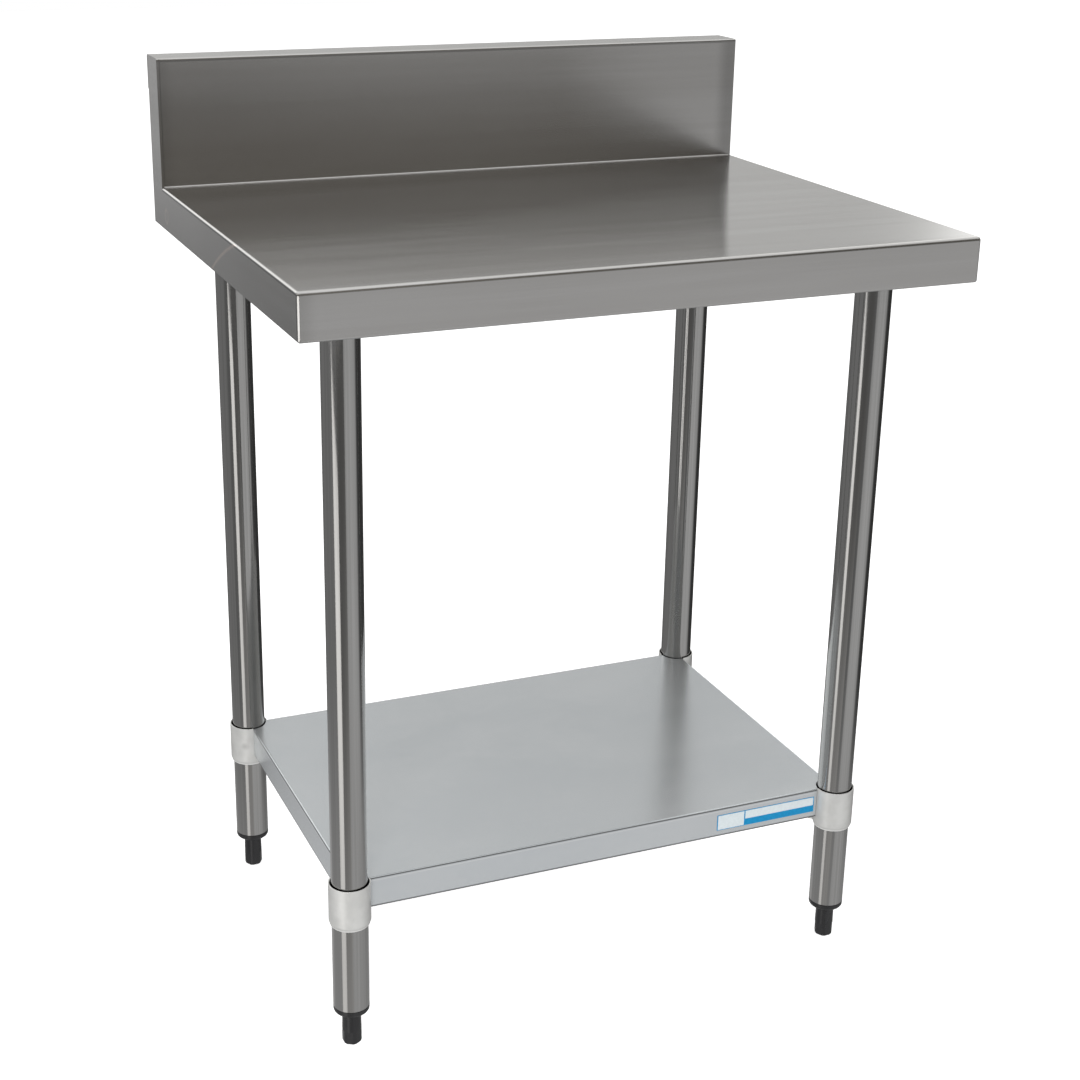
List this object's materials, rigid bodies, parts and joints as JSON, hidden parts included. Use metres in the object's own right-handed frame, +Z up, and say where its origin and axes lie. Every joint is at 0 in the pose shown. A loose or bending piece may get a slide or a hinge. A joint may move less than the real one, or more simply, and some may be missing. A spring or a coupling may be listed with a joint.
{
  "type": "stainless work table",
  "caption": "Stainless work table with a boxed splashback, round tube legs on screw-in levelling feet, and a galvanised undershelf that slides along the legs.",
  "frame": {"origin": "on the floor, under the middle of the table's outline", "axes": "+X right along the front edge, +Y from the front edge to the splashback, +Z up"},
  "size_m": [0.762, 0.61, 1.05],
  "materials": {
    "stainless_sheet": "fine satin grain along the length",
    "stainless_tube": "bright satin tube",
    "channel_steel": "galvanised, dull",
    "galvanised_sheet": "galvanised, satin",
    "cast_socket": "as cast, matte",
    "cast_collar": "as cast, matte",
    "black_plastic": "moulded, satin",
    "plated_steel": "zinc plated",
    "label_face": "blank printed film"
  },
  "bodies": {
    "table_frame": {"work_top": "stainless_sheet", "splash_cap_left": "stainless_sheet", "splash_cap_right": "stainless_sheet", "cross_channel_left": "channel_steel", "cross_channel_right": "channel_steel", "middle_channel": "channel_steel", "socket_bolts": "plated_steel", "socket_nuts": "plated_steel", "socket_grub_screws": "plated_steel", "foot_nuts": "plated_steel", "leg_socket_front_left": "cast_socket", "leg_front_left": "stainless_tube", "foot_plug_front_left": "black_plastic", "leg_socket_front_right": "cast_socket", "leg_front_right": "stainless_tube", "foot_plug_front_right": "black_plastic", "leg_socket_back_right": "cast_socket", "leg_back_right": "stainless_tube", "foot_plug_back_right": "black_plastic", "leg_socket_back_left": "cast_socket", "leg_back_left": "stainless_tube", "foot_plug_back_left": "black_plastic"},
    "undershelf": {"shelf_pan": "galvanised_sheet", "shelf_rib": "galvanised_sheet", "collar_grub_screws": "plated_steel", "label_plate": "label_face", "shelf_collar_front_left": "cast_collar", "shelf_collar_front_right": "cast_collar", "shelf_collar_back_right": "cast_collar", "shelf_collar_back_left": "cast_collar"},
    "levelling_foot_front_left": {"foot_front_left": "black_plastic", "foot_stud_front_left": "plated_steel"},
    "levelling_foot_front_right": {"foot_front_right": "black_plastic", "foot_stud_front_right": "plated_steel"},
    "levelling_foot_back_right": {"foot_back_right": "black_plastic", "foot_stud_back_right": "plated_steel"},
    "levelling_foot_back_left": {"foot_back_left": "black_plastic", "foot_stud_back_left": "plated_steel"}
  },
  "joints": [
    {"name": "undershelf_height", "type": "slide", "parent": "table_frame", "child": "undershelf", "axis": [0, 0, 1], "range_m": [-0.1, 0.62]},
    {"name": "foot_screw_front_left", "type": "slide", "parent": "table_frame", "child": "levelling_foot_front_left", "axis": [0, 0, -1], "range_m": [0, 0.025]},
    {"name": "foot_screw_front_right", "type": "slide", "parent": "table_frame", "child": "levelling_foot_front_right", "axis": [0, 0, -1], "range_m": [0, 0.025]},
    {"name": "foot_screw_back_right", "type": "slide", "parent": "table_frame", "child": "levelling_foot_back_right", "axis": [0, 0, -1], "range_m": [0, 0.025]},
    {"name": "foot_screw_back_left", "type": "slide", "parent": "table_frame", "child": "levelling_foot_back_left", "axis": [0, 0, -1], "range_m": [0, 0.025]}
  ]
}
